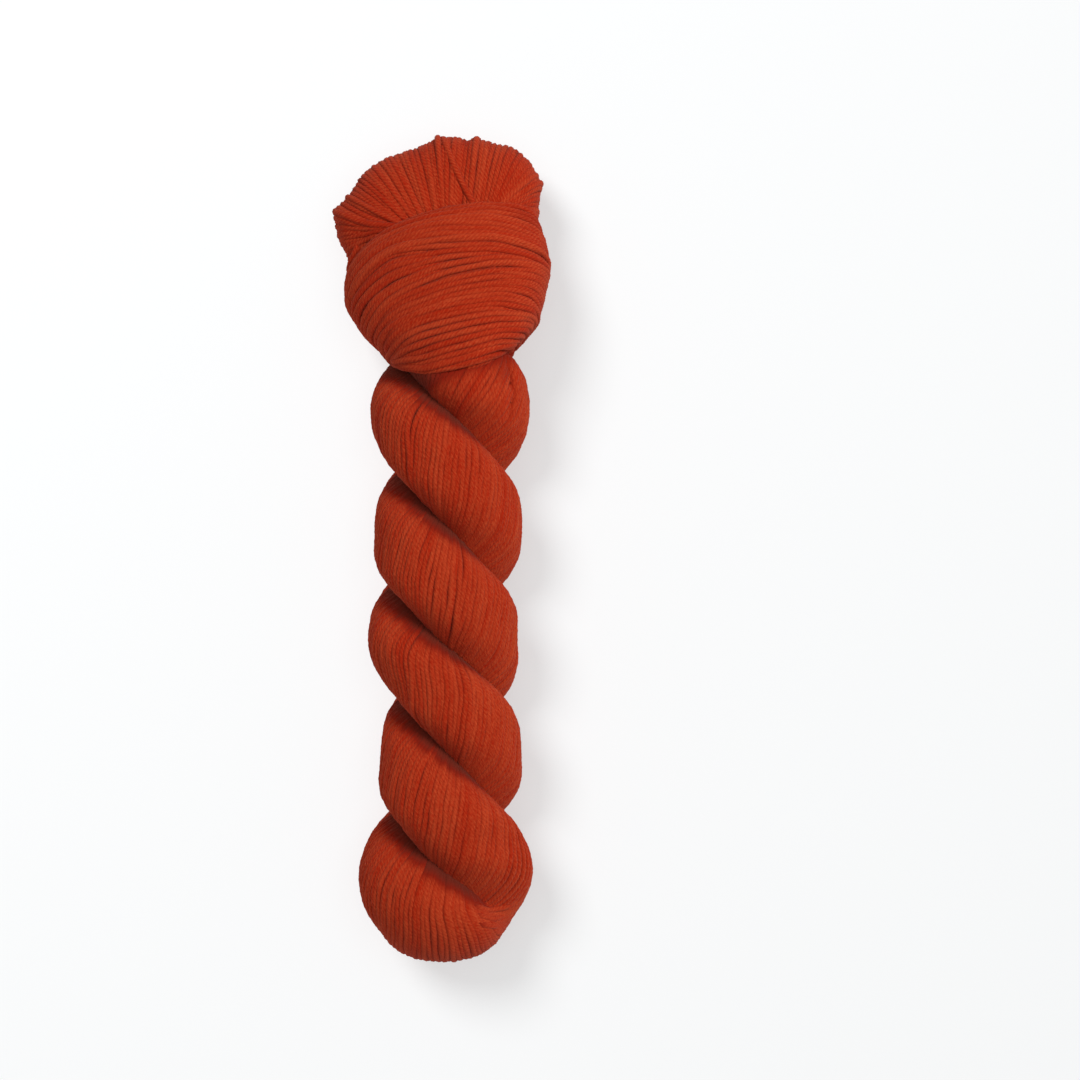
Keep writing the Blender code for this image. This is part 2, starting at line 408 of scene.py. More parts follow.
def wind(name, lines, radius, material, under=False, diving=False, groove_shade=1.0):
    """One piece of many yarns. Each line is in millimetres; it is kept above the table.

    Shade is painted into a yarn's colour on the sides that face its neighbours, where it dives under the
    other ply, and below the collar.
    The last argument sets how strongly the grooves between its strands are darkened with painted shade.
    """
    strands = UNDER_STRANDS if under else YARN_STRANDS
    step = UNDER_STEP if under else YARN_STEP
    corners = 2 * strands
    points, quads, caps, tones, maps, shades = [], [], [], [], [], []
    streaks = chance.uniform(0, 6, 2)
    used = 0
    for number, line in enumerate(lines):
        thickness = radius * chance.uniform(0.93, 1.08)
        line = evenly(line, step)
        line[:, 2] = np.maximum(line[:, 2], thickness * 0.9 + 0.25 * np.maximum(line[:, 2], 0) / 3)
        rings = spun_rings(line, thickness, YARN_LAY * chance.uniform(0.88, 1.14), strands, step)
        count = len(rings)
        skin = (rings - line[:, None, :]) / thickness
        facing = np.einsum("rcx,rx->rc", skin, way_out(line))
        if not diving:
            facing = np.maximum(facing, skin[..., 2] - 0.25)
        # Painted shade on the sides that face the neighbouring yarns.
        shade = 1 - eased((facing - SIDE_FACING) / (1 - SIDE_FACING))
        shade *= SIDE_SHADE if diving else OPEN_SIDE_SHADE
        way = np.arange(count) * step
        # Yarns that lie under others get painted shade all over.
        if under:
            shade = np.maximum(shade, UNDER_SHADE)
        if diving:
            shade = np.maximum(shade, dive_shade(line, way)[:, None])
        shades.append(shade.ravel())
        rings[..., 2] = np.maximum(rings[..., 2], TABLE_CLEARANCE)
        points.append(rings.reshape(-1, 3))
        ring = np.arange(count - 1)[:, None]
        corner = np.arange(corners)[None, :]
        following = (corner + 1) % corners
        quad = np.stack((
            ring * corners + corner,
            ring * corners + following,
            (ring + 1) * corners + following,
            (ring + 1) * corners + corner,
        ), -1).reshape(-1, 4)
        quads.append(quad + used)
        caps.append(used + np.arange(corners)[::-1])
        caps.append(used + (count - 1) * corners + np.arange(corners))
        tone = chance.uniform(0.1, 0.9) + 0.2 * wave(way, chance.uniform(25, 60), chance.uniform(0, 6))
        tone += 0.14 * math.sin(0.55 * number + streaks[0]) + 0.12 * math.sin(1.3 * number + streaks[1])
        tones.append(np.repeat(tone, corners))
        turn_of = np.broadcast_to(corner / corners, (count - 1, corners))
        reel = np.broadcast_to(ring, (count - 1, corners))
        shift = chance.uniform(0, 50)
        corner_map = np.stack((
            np.stack((way[reel] + shift, turn_of), -1),
            np.stack((way[reel] + shift, turn_of + 1 / corners), -1),
            np.stack((way[reel + 1] + shift, turn_of + 1 / corners), -1),
            np.stack((way[reel + 1] + shift, turn_of), -1),
        ), 2).reshape(-1, 2)
        maps.append(corner_map)
        used += count * corners
    points = np.concatenate(points) * MM
    quads = np.concatenate(quads)
    caps = np.array(caps)
    mesh = bpy.data.meshes.new(name)
    mesh.vertices.add(len(points))
    mesh.vertices.foreach_set("co", points.ravel())
    mesh.loops.add(quads.size + caps.size)
    mesh.loops.foreach_set("vertex_index", np.concatenate((quads.ravel(), caps.ravel())))
    mesh.polygons.add(len(quads) + len(caps))
    starts = np.concatenate((np.arange(len(quads)) * 4, quads.size + np.arange(len(caps)) * corners))
    mesh.polygons.foreach_set("loop_start", starts)
    mesh.update(calc_edges=True)
    mesh.shade_smooth()
    tone = mesh.attributes.new("tone", "FLOAT", "POINT")
    tone.data.foreach_set("value", np.concatenate(tones))
    shade = mesh.attributes.new("shade", "FLOAT", "POINT")
    shade.data.foreach_set("value", np.concatenate(shades))
    # Every other corner of a ring lies in a groove between strands, where shade is painted into the colour.
    groove = mesh.attributes.new("groove", "FLOAT", "POINT")
    groove.data.foreach_set("value", groove_shade * (np.arange(len(points)) % 2))
    yarn_map = mesh.uv_layers.new(name="yarn")
    filled = np.zeros((quads.size + caps.size, 2))
    filled[: quads.size] = np.concatenate(maps)
    yarn_map.uv.foreach_set("vector", filled.ravel())
    mesh.materials.append(material)
    piece = bpy.data.objects.new(name, mesh)
    bpy.context.scene.collection.objects.link(piece)
    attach(piece, "root")
    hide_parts("hank")
    return piece


# The lighter end of the dye is also a little pale, so that the nap's light flecks are partly painted sheen.
WOOL_LIGHT_AND_SHEEN = (0.53, 0.068, 0.021, 1.0)
WOOL_DARK = (0.385, 0.016, 0.003, 1.0)
# Painted shade for the grooves and the sides between yarns, and darker painted shade for creases and below
# the collar.
WOOL_PAINTED_SHADE = (0.25, 0.014, 0.005, 1.0)
WOOL_CREASE_SHADE = (0.155, 0.022, 0.012, 1.0)
WOOL_SHEEN = (1.0, 0.50, 0.36, 1.0)
LIGHTNESS_START = -0.87
# Shares of lightness: the grooves' share is painted shade, and the nap's light flecks are fibre texture and
# partly painted sheen.
LIGHTNESS_SHARES = (0.36, 0.25, -0.45, 2.3)  # of the yarn's own tone, the dye, the grooves and the nap
GROOVE_SHADE_SHARE = 0.55  # how far the grooves between the strands of a yarn are darkened
PATCH_SCALE = 0.22  # these show in patches along the yarn


def dyed_wool(name, light, dark, shade_colour):
    """Wool dyed a little unevenly, with a fine nap partly painted as sheen, and painted shade in grooves and
    creases and on the sides between yarns.
    """
    wool = bpy.data.materials.new(name)
    wool.use_nodes = True
    nodes, links = wool.node_tree.nodes, wool.node_tree.links
    shader = nodes["Principled BSDF"]
    shader.inputs["Roughness"].default_value = 0.9
    shader.inputs["Specular IOR Level"].default_value = 0.03
    shader.inputs["Sheen Weight"].default_value = 0.11
    shader.inputs["Sheen Roughness"].default_value = 0.5
    shader.inputs["Sheen Tint"].default_value = WOOL_SHEEN

    tone = nodes.new("ShaderNodeAttribute")
    tone.attribute_name = "tone"
    place = nodes.new("ShaderNodeTexCoord")
    dye = nodes.new("ShaderNodeTexNoise")
    dye.inputs["Scale"].default_value = 30.0
    dye.inputs["Detail"].default_value = 2.0
    links.new(place.outputs["Object"], dye.inputs["Vector"])
    yarn = nodes.new("ShaderNodeUVMap")
    yarn.uv_map = "yarn"
    stretch = nodes.new("ShaderNodeMapping")
    stretch.inputs["Scale"].default_value = (0.5, 9.0, 1.0)
    stretch.inputs["Rotation"].default_value = (0.0, 0.0, 0.12)
    links.new(yarn.outputs["UV"], stretch.inputs["Vector"])
    # A fine nap along the yarn, which also roughens it; its light flecks are partly painted sheen.
    nap_and_sheen = nodes.new("ShaderNodeTexNoise")
    nap_and_sheen.inputs["Scale"].default_value = 1.6
    nap_and_sheen.inputs["Detail"].default_value = 4.0
    links.new(stretch.outputs["Vector"], nap_and_sheen.inputs["Vector"])

    groove = nodes.new("ShaderNodeAttribute")
    groove.attribute_name = "groove"
    lightness = None
    for source, share in zip((tone, dye, groove, nap_and_sheen), LIGHTNESS_SHARES):
        total = nodes.new("ShaderNodeMath")
        total.operation = "MULTIPLY_ADD"
        total.inputs[1].default_value = share
        total.inputs[2].default_value = LIGHTNESS_START
        total.use_clamp = source is nap_and_sheen
        links.new(source.outputs["Fac"], total.inputs[0])
        if lightness:
            links.new(lightness.outputs[0], total.inputs[2])
        lightness = total
    dyed = nodes.new("ShaderNodeMix")
    dyed.data_type = "RGBA"
    dyed.inputs["A"].default_value = dark
    dyed.inputs["B"].default_value = light
    links.new(lightness.outputs[0], dyed.inputs["Factor"])

    spread = nodes.new("ShaderNodeMapRange")
    spread.inputs["From Min"].default_value = 0.3
    spread.inputs["From Max"].default_value = 0.7
    spread.inputs["To Max"].default_value = GROOVE_SHADE_SHARE
    links.new(nap_and_sheen.outputs["Fac"], spread.inputs["Value"])
    patches = nodes.new("ShaderNodeTexNoise")
    patches.inputs["Scale"].default_value = PATCH_SCALE
    patches.inputs["Detail"].default_value = 1.0
    links.new(yarn.outputs["UV"], patches.inputs["Vector"])
    patchy = nodes.new("ShaderNodeMapRange")
    patchy.inputs["From Min"].default_value = 0.35
    patchy.inputs["From Max"].default_value = 0.65
    patchy.inputs["To Min"].default_value = 0.15
    links.new(patches.outputs["Fac"], patchy.inputs["Value"])
    # The painted shade in the grooves is stronger in patches along the yarn.
    patchy_groove_shade = nodes.new("ShaderNodeMath")
    patchy_groove_shade.operation = "MULTIPLY"
    links.new(groove.outputs["Fac"], patchy_groove_shade.inputs[0])
    links.new(patchy.outputs["Result"], patchy_groove_shade.inputs[1])
    depth = nodes.new("ShaderNodeMath")
    depth.operation = "MULTIPLY"
    links.new(patchy_groove_shade.outputs[0], depth.inputs[0])
    links.new(spread.outputs["Result"], depth.inputs[1])
    # The shade attribute is painted shade, mixed into the colour below.
    side = nodes.new("ShaderNodeAttribute")
    side.attribute_name = "shade"
    deepest = nodes.new("ShaderNodeMath")
    deepest.operation = "MAXIMUM"
    links.new(depth.outputs[0], deepest.inputs[0])
    links.new(side.outputs["Fac"], deepest.inputs[1])
    shaded = nodes.new("ShaderNodeMix")
    shaded.data_type = "RGBA"
    shaded.inputs["B"].default_value = shade_colour
    links.new(deepest.outputs[0], shaded.inputs["Factor"])
    links.new(dyed.outputs["Result"], shaded.inputs["A"])
    # Past a shade of 1 the colour goes on to the darker painted shade of a crease or of the collar's shadow.
    crease = nodes.new("ShaderNodeMapRange")
    crease.inputs["From Min"].default_value = 1.0
    crease.inputs["From Max"].default_value = 2.0
    links.new(side.outputs["Fac"], crease.inputs["Value"])
    creased = nodes.new("ShaderNodeMix")
    creased.data_type = "RGBA"
    creased.inputs["B"].default_value = WOOL_CREASE_SHADE
    links.new(crease.outputs["Result"], creased.inputs["Factor"])
    links.new(shaded.outputs["Result"], creased.inputs["A"])
    links.new(creased.outputs["Result"], shader.inputs["Base Color"])

    rise = nodes.new("ShaderNodeBump")
    rise.inputs["Strength"].default_value = 0.6
    rise.inputs["Distance"].default_value = 0.0003
    links.new(nap_and_sheen.outputs["Fac"], rise.inputs["Height"])
    links.new(rise.outputs["Normal"], shader.inputs["Normal"])
    return wool


brick_wool = dyed_wool("brick_wool", WOOL_LIGHT_AND_SHEEN, WOOL_DARK, WOOL_PAINTED_SHADE)


def first_start():
    """Where the outermost line is crossed by the last yarn that doesn't go round the fold."""
    edge = np.array([buried_angle(0.0)]) * NEAR_EDGE
    (way,) = follow_bundle(np.zeros(1), edge)
    ahead = way[(way[:, 0] > 0) & (way[:, 1] < 0)]
    return ahead[0, 0]


def ply_starts():
    """Places on the outermost line of a ply, from the fold to the neck, a yarn's pitch apart."""
    place, starts = first_start() + 0.6, []
    while place < NECK_Y - TURN_Y + HALF_FOLD:
        starts.append(place)
        share = float(eased((62.0 - place) / 40.0))
        pitch = ROPE_YARN_PITCH + (FOLD_YARN_PITCH - ROPE_YARN_PITCH) * share
        _, _, spread = ply_size(TURN_Y + max(place - HALF_FOLD, 0.0))
        place += pitch / float(turn_rate(np.array(place), np.array(0.0)) * spread)
    return np.array(starts)


def spread_ways(ways, pitch):
    """The same yarns in order, with one more wherever two neighbours part by more than this pitch."""
    lines = [ply_skin(way[:, 0], way[:, 1], 0.0) for way in ways]
    result = [ways[0]]
    for i in range(len(ways) - 1):
        apart = np.linalg.norm(lines[i][:, None] - lines[i + 1][None], axis=2)
        nearest = np.where(np.abs(ways[i][:, 1]) < SHOWING_ANGLE, apart.min(axis=1), 0.0)
        widest = int(np.argmax(nearest))
        if nearest[widest] > pitch:
            seed = (ways[i][widest] + ways[i + 1][int(np.argmin(apart[widest]))]) / 2
            result += follow_bundle(seed[:1], seed[1:])
        result.append(ways[i + 1])
    return result


# Below the collar on the right, the bundle parts along this line.
SEAM = ((22.3, 69.0), (24.0, 62.0), (25.4, 55.2), (24.6, 50.0), (22.6, 45.5))
SEAM_DEPTH = 2.0
SEAM_WIDTH = 1.2


def seam_at(points):
    """How far the bundle sinks at these points for its seam."""
    x, y = np.array(SEAM).T
    middle = np.interp(points[:, 1], y[::-1], x[::-1])
    near = np.exp(-(((points[:, 0] - middle) / SEAM_WIDTH) ** 2))
    inside = eased((points[:, 1] - y[-1]) / 3.0) * (points[:, 2] > 24)
    return SEAM_DEPTH * near * inside


def rope_lines(ways, radius, upward=1):
    """Lines for the yarns on these ways. Each starts at its end that lies higher along this axis."""
    lines = []
    for number, way in enumerate(ways):
        along, round_it = way[:, 0], way[:, 1]
        unevenness = chance.uniform(-0.11, 0.08)
        phases = chance.uniform(0, 2 * math.pi, 4)
        stray = 0.010 * wave(along, 23.0, phases[0]) + 0.005 * wave(along, 11.0, phases[1])
        bundle = 0.014 * np.sin(number * 0.83 + along / 9.0) + 0.007 * np.sin(number * 2.1 - along / 14.0)
        relief = 0.07 * np.sin(number * 1.35 + 0.8 * np.sin(along / 13.0))
        relief += 0.08 * np.sin(number * 0.47 + along / 21.0)
        lift = unevenness + relief - 0.1 + 0.05 * wave(along, 17.0, phases[2])
        if chance.uniform() < PARTING_SHARE:
            lift = lift - PARTING_DEPTH * eased(0.6 + 0.7 * wave(along, 70.0, phases[3]))
        elif chance.uniform() < CROSSING_SHARE:
            middle = along[len(along) // 2]
            stray = stray + chance.choice((-1.0, 1.0)) * CROSSING_LEAN * (along - middle) / 20.0
            lift = lift + CROSSING_LIFT
        line = ply_skin(along, round_it + stray + bundle, lift - radius)
        line[:, 2] -= seam_at(line)
        top, foot = line[len(line) // 8], line[-len(line) // 8]
        lines.append(line if top[upward] > foot[upward] else line[::-1])
    return lines


starts = ply_starts()
for ply, side in (("right", -1.0), ("left", 1.0)):
    crossings = side * (starts + chance.uniform(-0.08, 0.08, len(starts)))
    edge = np.array([side * float(buried_angle(0.0)) * NEAR_EDGE])
    last_round_fold = follow_bundle(np.zeros(1), edge)
    ways = spread_ways(last_round_fold + follow_bundle(crossings, np.zeros(len(starts))), WIDEST_PITCH)[1:]
    middle = len(ways) // 2
    for part, some in (("lower", ways[:middle]), ("upper", ways[middle:])):
        lines = rope_lines(some, ROPE_YARN_RADIUS)
        wind(f"{ply}_ply_{part}_yarns", lines, ROPE_YARN_RADIUS, brick_wool, diving=True, groove_shade=ROPE_GROOVE_SHADE)

# ---------------------------------------------------------------- the fold
# At the foot of the rope the bundle turns back. The yarns that are on its outside there run
# straight on over the end, from the left-hand ply above to the right-hand ply below.
fold_edge = float(buried_angle(0.0)) * NEAR_EDGE
fold_count = int(2 * fold_edge * (TURN_REACH + TURN_SPREAD) / 2 / FOLD_YARN_PITCH)
fold_angles = np.linspace(-fold_edge, fold_edge, fold_count) + chance.uniform(-0.008, 0.008, fold_count)
fold_ways = spread_ways(follow_bundle(np.zeros(fold_count), fold_angles), FOLD_WIDEST_PITCH)
# On the right a few loose yarns come out of the crease and run level over the others, down the side.
LEVEL_YARNS = (
    # places that each one passes, x and y
    ((7.0, -123.8), (11.8, -127.2), (15.7, -129.0), (20.8, -130.3), (25.5, -129.4), (28.6, -128.0)),
    ((8.0, -126.8), (13.5, -130.6), (18.3, -132.9), (22.8, -133.4), (26.4, -132.0)),
    ((9.5, -130.6), (15.5, -134.6), (20.4, -136.2), (23.9, -135.4)),
)
LEVEL_LIFT = 0.65


def level_line(places):
    """A line through these places on top of the hank, then over the edge and down to the table."""
    down = Vector((0, 0, -1))
    line = [packed_skin.ray_cast(Vector((x, y, 100.0)), down)[0] for x, y in places]
    onward = Vector((*(line[-1] - line[-2]).xy, 0)).normalized()
    line += [line[-1] + onward * reach + down * fall for reach, fall in ((2.4, 4.0), (3.4, 9.0), (2.4, 15.0))]
    line = smoothed(evenly(np.array(line), 1.0), 6)
    snapped = np.array([packed_skin.find_nearest(Vector(point))[0] for point in line])
    way = np.arange(len(line))
    lift = LEVEL_LIFT * eased((len(places) * 5.0 - way) / 7.0) - 1.5 * (1 - eased(way / 9.0))
    return smoothed(snapped + way_out(snapped) * (lift - ROPE_YARN_RADIUS)[:, None], 3)


fold_lines = rope_lines(fold_ways, ROPE_YARN_RADIUS, upward=2)
fold_lines += [level_line(places) for places in LEVEL_YARNS]
wind("fold_yarns", fold_lines, ROPE_YARN_RADIUS, brick_wool, diving=True, groove_shade=ROPE_GROOVE_SHADE)

# ---------------------------------------------------------------- the collar
# The far end of the loop, drawn tight round the neck. Its yarns run round the hank one above
# the other, as a broad band that is tilted and that narrows below.
COLLAR_Y = 93.2
COLLAR_TILT = math.radians(11)
HEAD_HEIGHT = 24.6
COLLAR_ROWS = (
    # side, crown, left, right, thickness (half)
    (-22.0, -28.5, 18.0, 16.5, 13.0),
    (-22.8, -30.6, 25.0, 22.4, 20.6),
    (-21.0, -28.8, 26.6, 25.5, 22.6),
    (-17.6, -24.6, 28.2, 30.2, 24.0),
    (-10.9, -15.9, 33.3, 33.7, 25.0),
    (0.0, -1.8, 38.0, 38.4, 25.4),
    (8.0, 13.0, 36.9, 38.7, 24.8),
    (13.0, 21.4, 34.9, 38.2, 22.8),
    (15.4, 25.4, 32.2, 37.4, 20.2),
    (16.0, 26.6, 29.0, 35.0, 17.6),
    (13.0, 23.0, 18.0, 22.0, 12.0),
)
# The upper turns ride up over the fan at the right shoulder.
SHOULDER_ANGLE = math.radians(18)
SHOULDER_WIDTH = math.radians(40)
SHOULDER_RISE = 6.2
SHOULDER_LIFT = 1.4
# How high each leading yarn runs, from the right side over the top to the left side, 30 degrees apart.
COLLAR_FLOW = (
    NECK_EDGE,
    (73.3, 72.2, 70.0, 66.4, 63.7, 65.0, 66.4, 63.5),
    (80.5, 82.3, 81.6, 76.9, 71.8, 68.2, 67.1, 63.5),
    (83.0, 88.1, 91.0, 88.5, 82.3, 73.7, 68.5, 63.0),
    (98.6, 102.6, 101.9, 97.5, 89.6, 79.0, 72.0, 65.0),
    (101.2, 104.0, 106.4, 105.1, 104.0, 93.9, 82.0, 70.0),
    (107.7, 112.6, 115.6, 114.5, 109.5, 100.3, 88.5, 76.0),
    (120.5, 124.0, 123.9, 120.2, 115.3, 109.5, 99.0, 88.0),
)
FLOW_STEP = 30
COLLAR_YARN_PITCH = 2.0  # from yarn to yarn, on top of the hank
COLLAR_YARN_RADIUS = 1.26
UNDER_TURNS_DEPTH = 1.1
FILL_PITCH = 2.6  # where two turns are further apart than this, a lower one lies between them
FILL_DEPTH = 0.15
CROWDED_PITCH = 1.8  # where they are closer than this, every other one is pushed down
CROWDED_DEPTH = 0.85
LAST_RANK = 16  # and a turn of this rank never is
# The turns part in two groups along this line on the left, with a dark groove between them.
GROOVE_FLOW = 4.9
GROOVE_WIDTH = 0.10
GROOVE_DEPTH = 1.3
GROOVE_SIDE = (75, 200)
TURN_ANGLES = np.radians(np.arange(-92.0, 270.0, 2.0))


def collar_skin(row, angle, lift):
    """A point of the collar: row is a place among its rings, angle is 0 at the right and 90 on top."""
    rows = np.array(COLLAR_ROWS)
    places = np.arange(len(rows))
    side, crown, left, right, thickness = (np.interp(row, places, rows[:, c]) for c in range(5))
    half = (left + right) / 2 + lift
    along = (right - left) / 2 + half * np.cos(angle)
    up = side + (crown - side) * np.abs(np.sin(angle)) ** 1.5
    shoulder = eased((row - 7.2) / 2.2) * np.exp(-(((angle - SHOULDER_ANGLE) / SHOULDER_WIDTH) ** 2))
    x = AXIS_X + along * math.cos(COLLAR_TILT) - up * math.sin(COLLAR_TILT) + 0.8 * shoulder
    y = COLLAR_Y + along * math.sin(COLLAR_TILT) + up * math.cos(COLLAR_TILT) + SHOULDER_RISE * shoulder
    z = HEAD_HEIGHT + (thickness + lift) * np.sin(angle) + SHOULDER_LIFT * shoulder
    return np.stack((x, y, z), -1)


def collar_height(line, angle):
    """How high yarn number line runs at this angle. Under the hank it goes straight across."""
    flow = np.array(COLLAR_FLOW)
    turned = np.degrees(angle) % 360
    last = FLOW_STEP * (len(flow[0]) - 1)
    under = turned > last
    stations = np.where(under, 0.0, turned) / FLOW_STEP
    low = np.clip(stations.astype(int), 0, len(flow[0]) - 2)
    share = stations - low
    row = np.clip(line, 0, len(flow) - 1)
    first = np.clip(row.astype(int), 0, len(flow) - 2)
    part = row - first

    def height_at(station):
        return flow[first, station] + (flow[first + 1, station] - flow[first, station]) * part

    over = height_at(low) + (height_at(low + 1) - height_at(low)) * share
    across = (turned - last) / (360 - last)
    left_end = height_at(np.full_like(low, len(flow[0]) - 1))
    right_end = height_at(np.zeros_like(low))
    below = left_end * (1 - across) + right_end * across
    return np.where(under, below, over)


def collar_row_at(height, angle):
    """The ring that passes through this height at this angle."""
    low, high = np.full_like(height, 0.8), np.full_like(height, 9.4)
    for _ in range(30):
        middle = (low + high) / 2
        above = collar_skin(middle, angle, 0.0)[..., 1] > height
        high = np.where(above, middle, high)
        low = np.where(above, low, middle)
    return (low + high) / 2


def turn_of_collar(line, lift, wobble):
    """One turn round the neck, closed under the hank. line is its place in the flow table."""
    angle = TURN_ANGLES
    line = line + wobble[0] * np.sin(angle + wobble[1]) + wobble[2] * np.sin(3 * angle + wobble[3])
    line = line + 0.4 * wobble[2] * np.sin(8 * angle + 2 * wobble[3])
    groove = np.exp(-(((line - GROOVE_FLOW) / GROOVE_WIDTH) ** 2))
    degrees = np.degrees(angle)
    groove = groove * eased((degrees - GROOVE_SIDE[0]) / 40) * eased((GROOVE_SIDE[1] - degrees) / 30)
    height = collar_height(line, angle)
    lift = lift - GROOVE_DEPTH * groove - COLLAR_YARN_RADIUS
    return smoothed(collar_skin(collar_row_at(height, angle), angle, lift), 16)


def tucked_turn(row, lift):
    rows = np.full_like(TURN_ANGLES, row)
    return smoothed(collar_skin(rows, TURN_ANGLES, lift - COLLAR_YARN_RADIUS), 10)


def layer_of_turns(shift, depth):
    """The turns of one layer, from the neck up. shift moves them by a share of their pitch.

    Neighbours sway together. Where two of them spread at the sides, a lower one lies between.
    """
    crown = np.array([row[3] for row in COLLAR_FLOW])
    count = int((crown[-1] - crown[0]) / COLLAR_YARN_PITCH) + 1
    step = (crown[-1] - crown[0]) / (count - 1)
    places = crown[0] + (np.arange(count) + shift + chance.uniform(-0.11, 0.11, count)) * step
    lines = np.interp(places, crown, np.arange(len(crown)))
    heights = np.array([collar_height(line, TURN_ANGLES) for line in lines])
    rooms = np.gradient(heights, axis=0)
    turns = []
    for number, line in enumerate(lines):
        sway = 0.10 * math.sin(1.9 * line + 0.7) + chance.uniform(-0.02, 0.02)
        waver = 0.06 * math.sin(2.7 * line + 2.0) + chance.uniform(-0.015, 0.015)
        wobble = (sway, 1.3 + 0.5 * line, waver, 0.9 * line)
        # 1 for every other turn, 2 for every other one of the rest, and so on
        rank = number & -number or LAST_RANK
        crowded = eased((CROWDED_PITCH - rank * rooms[number]) / 0.4) * (rank < LAST_RANK)
        relief = 0.10 * math.sin(3.1 * line + 1.0) + 0.06 * wave(TURN_ANGLES, 2.2, 5.0 * line)
        lift = chance.uniform(-0.10, 0.06) + relief - CROWDED_DEPTH * crowded - depth
        turns.append(turn_of_collar(line, lift, wobble))
    for number in range(count - 1):
        apart = heights[number + 1] - heights[number]
        if apart.max() > FILL_PITCH:
            lift = -FILL_DEPTH - 1.5 * CROWDED_DEPTH * eased((FILL_PITCH - apart) / 0.6) - depth
            middle = (lines[number] + lines[number + 1]) / 2
            turns.append(turn_of_collar(middle, lift, (0.0, 0.0, 0.03, number)))
    return turns


def loose_turns():
    """A few turns that lie askew over the rest, and those that are tucked in at both edges."""
    lines = []
    for _ in range(4):
        line = chance.uniform(0.6, len(COLLAR_FLOW) - 1.6)
        wobble = (chance.choice((-1.0, 1.0)) * chance.uniform(0.2, 0.4), chance.uniform(-1, 1), 0.0, 0.0)
        lines.append(turn_of_collar(line, 0.3, wobble))
    for row in (0.25, 0.6, 0.85, 9.5, 9.75):
        lines.append(tucked_turn(row, chance.uniform(-0.3, 0.1)))
    return lines


wind("collar_yarns", layer_of_turns(0.0, 0.0) + loose_turns(), COLLAR_YARN_RADIUS, brick_wool)
under_turns = layer_of_turns(0.5, UNDER_TURNS_DEPTH)
wind("collar_under_yarns", under_turns, COLLAR_YARN_RADIUS, brick_wool, under=True)

# ---------------------------------------------------------------- the fan
# The end of the loop that was pulled through. Its yarns come out of the collar, spread like
# a fan and each turns back over the rim, so that the rim is a row of small round loops.
FAN_HEIGHT = 19.0
FAN_CROWN = 18.5
FAN_BELLY = 17.0
FAN_ROUNDNESS = 2.6
# Where yarns leave the collar and where they turn back, from the far left to the far right.
FAN_FLOW = (
    # root x, root y, tip x, tip y, depth under the crown at the root, bend to its left
    (-31.0, 106.5, -34.0, 99.5, 4.5, 0.0),
    (-28.8, 107.7, -33.8, 102.4, 3.0, 0.0),
    (-25.9, 110.9, -35.9, 107.3, 1.5, 0.0),
    (-20.4, 113.5, -38.0, 111.6, 0.5, 0.0),
    (-18.3, 114.6, -39.3, 116.3, 0.0, 0.8),
    (-16.5, 114.9, -40.4, 122.6, -0.4, 1.9),
    (-14.3, 115.6, -34.9, 127.6, 0.0, 0.5),
    (-11.8, 116.4, -30.6, 134.5, 0.0, 0.0),
    (-9.6, 117.1, -25.5, 139.2, 0.0, 0.0),
    (-6.7, 118.2, -19.4, 142.8, 0.0, 0.0),
    (-4.2, 118.9, -11.8, 144.9, 0.0, 0.0),
    (-1.3, 119.6, -6.0, 147.1, 0.0, 0.0),
    (1.3, 120.3, -1.6, 149.7, 0.0, 0.0),
    (3.8, 120.7, 4.9, 150.0, 0.0, 0.0),
    (6.7, 121.4, 9.6, 148.6, 0.0, 0.0),
    (10.3, 122.1, 12.8, 149.7, 0.0, 0.0),
    (13.2, 122.9, 16.8, 148.2, 0.0, 0.0),
    (16.1, 123.2, 21.2, 147.1, 0.0, 0.0),
    (18.6, 123.6, 25.5, 146.4, 0.0, 0.0),
    (20.4, 124.0, 29.1, 143.9, 0.0, 0.0),
    (21.9, 124.3, 32.8, 140.2, 0.0, 0.0),
    (23.3, 124.3, 34.9, 135.9, 0.0, 0.0),
    (25.2, 124.3, 36.7, 133.0, 0.5, 0.0),
    (27.7, 124.0, 36.0, 129.4, 1.0, 0.0),
    (30.6, 123.2, 35.6, 125.0, 2.5, 0.0),
    (31.5, 120.5, 35.8, 121.0, 4.0, 0.0),
)
# One yarn that lies askew over the rest.
FAN_CROSSING = (12.0, 122.3, 0.0, 149.6, -0.35, 0.8)
FAN_YARN_RADIUS = 1.22
FAN_YARN_PITCH = 2.15  # from yarn to yarn, at the rim
FAN_TUCK = 9.0  # so far the yarns run on under the collar
RIM_DEPTH = 0.5  # most of them turn back so far inside the rim
UNDER_FAN_DEPTH = 2.6
# The fan sinks beside the collar at both of its ends.
HOLLOWS = (
    # x, y, size, depth
    (-29.5, 108.0, 8.0, 5.0),
    (32.5, 124.0, 5.5, 3.2),
)


def hollow_at(x, y):
    return sum(
        depth * np.exp(-((x - place_x) ** 2 + (y - place_y) ** 2) / size**2)
        for place_x, place_y, size, depth in HOLLOWS
    )


